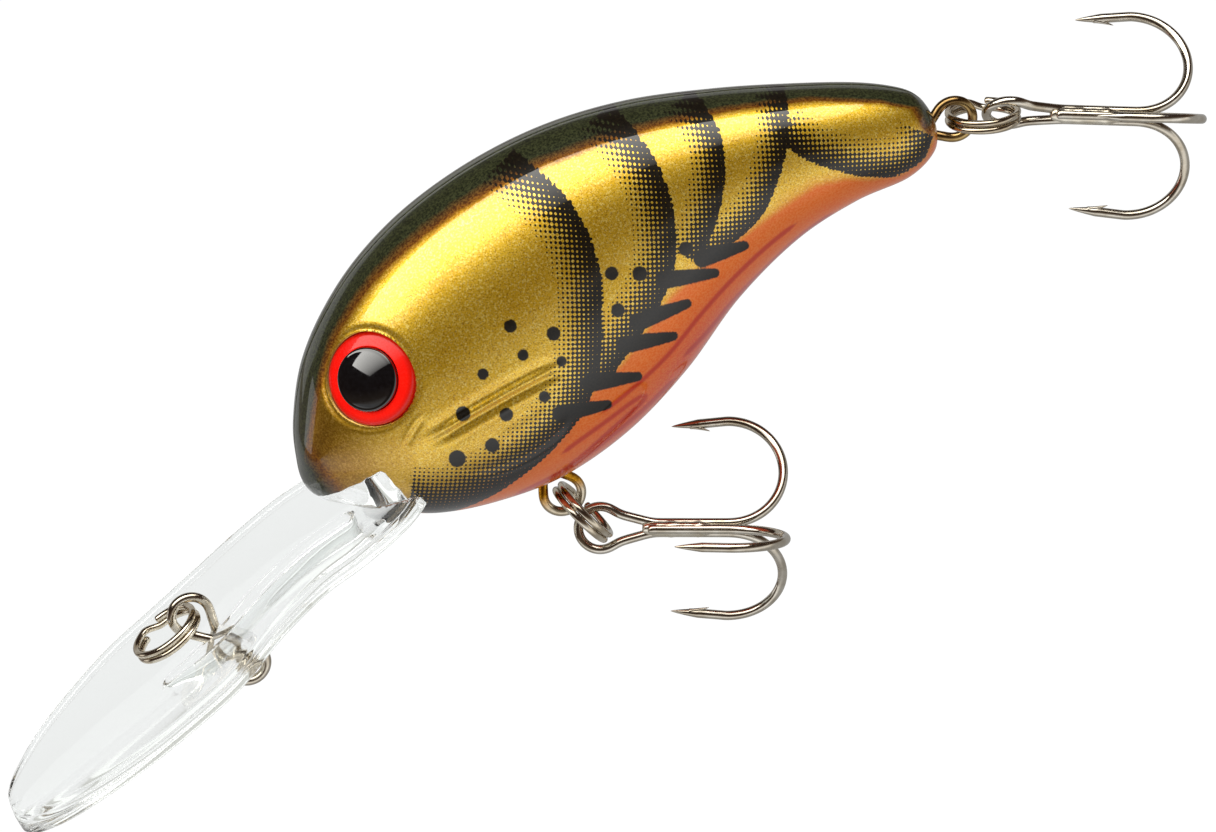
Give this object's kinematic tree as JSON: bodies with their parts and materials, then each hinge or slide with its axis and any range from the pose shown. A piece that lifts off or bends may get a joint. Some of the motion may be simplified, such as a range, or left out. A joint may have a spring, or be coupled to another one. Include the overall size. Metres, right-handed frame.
{
  "type": "deep-diving crankbait",
  "caption": "Deep-diving crankbait fishing lure: two-shell rattling body, clear diving lip with line tie, two treble hooks on split rings.",
  "frame": {"origin": "centre of the line-tie eye, on the middle plane, where the fishing line's pull goes in", "axes": "+X toward the tail, +Z toward the back, +Y toward the lure's own right side"},
  "size_m": [0.123, 0.0258, 0.0509],
  "materials": {
    "painted_shell": "clear-coated paint over moulded ABS: gold side, olive back, orange belly, dark dot-screen stripes",
    "clear_lip": "clear polycarbonate",
    "nickel_wire": "nickel-plated steel wire",
    "gold_painted_wire": "steel wire with overspray of the gold paint",
    "red_eye": "metallic red disc",
    "black_eye": "gloss black dome",
    "steel_ball": "polished bearing steel",
    "nickel_ring": "nickel-plated spring steel",
    "hook_steel": "black-nickel hook steel, polished",
    "braze": "plated brazing metal"
  },
  "bodies": {
    "body": {"left_shell": "painted_shell", "right_shell": "painted_shell", "diving_lip": "clear_lip", "line_tie_wire": "nickel_wire", "belly_hanger": "gold_painted_wire", "tail_hanger": "gold_painted_wire", "left_eye_iris": "red_eye", "right_eye_iris": "red_eye", "left_eye_pupil": "black_eye", "right_eye_pupil": "black_eye", "ballast_ball": "steel_ball"},
    "line_ring": {"line_tie_ring": "nickel_ring"},
    "belly_link": {"belly_ring": "nickel_ring"},
    "belly_treble": {"belly_hook_double": "hook_steel", "belly_hook_single": "hook_steel", "belly_hook_braze": "braze"},
    "tail_link": {"tail_ring": "nickel_ring"},
    "tail_treble": {"tail_hook_double": "hook_steel", "tail_hook_single": "hook_steel", "tail_hook_braze": "braze"},
    "front_rattle": {"rattle_ball_front": "steel_ball"},
    "rear_rattle": {"rattle_ball_rear": "steel_ball"}
  },
  "joints": [
    {"name": "line_tie_ring_swing", "type": "hinge", "parent": "body", "child": "line_ring", "pos_m": [0, 0, 0], "axis": [0, 1, 0], "range_deg": [-20, 95]},
    {"name": "belly_ring_swing", "type": "hinge", "parent": "body", "child": "belly_link", "pos_m": [0.0335, 0, -0.0076], "axis": [0, 1, 0], "range_deg": [-15, 55]},
    {"name": "belly_hook_swing", "type": "hinge", "parent": "belly_link", "child": "belly_treble", "pos_m": [0.03485, 0, -0.01231], "axis": [0, 1, 0], "range_deg": [-15, 55]},
    {"name": "tail_ring_swing", "type": "hinge", "parent": "body", "child": "tail_link", "pos_m": [0.0794, 0, 0.0049], "axis": [0, 1, 0], "range_deg": [-55, 60]},
    {"name": "tail_hook_swing", "type": "hinge", "parent": "tail_link", "child": "tail_treble", "pos_m": [0.08384, 0, 0.00283], "axis": [0, 1, 0], "range_deg": [-45, 45]},
    {"name": "front_rattle_slide", "type": "slide", "parent": "body", "child": "front_rattle", "axis": [0, 1, 0], "range_m": [-0.004, 0.004]},
    {"name": "rear_rattle_slide", "type": "slide", "parent": "body", "child": "rear_rattle", "axis": [0, 1, 0], "range_m": [-0.0027, 0.0027]}
  ]
}
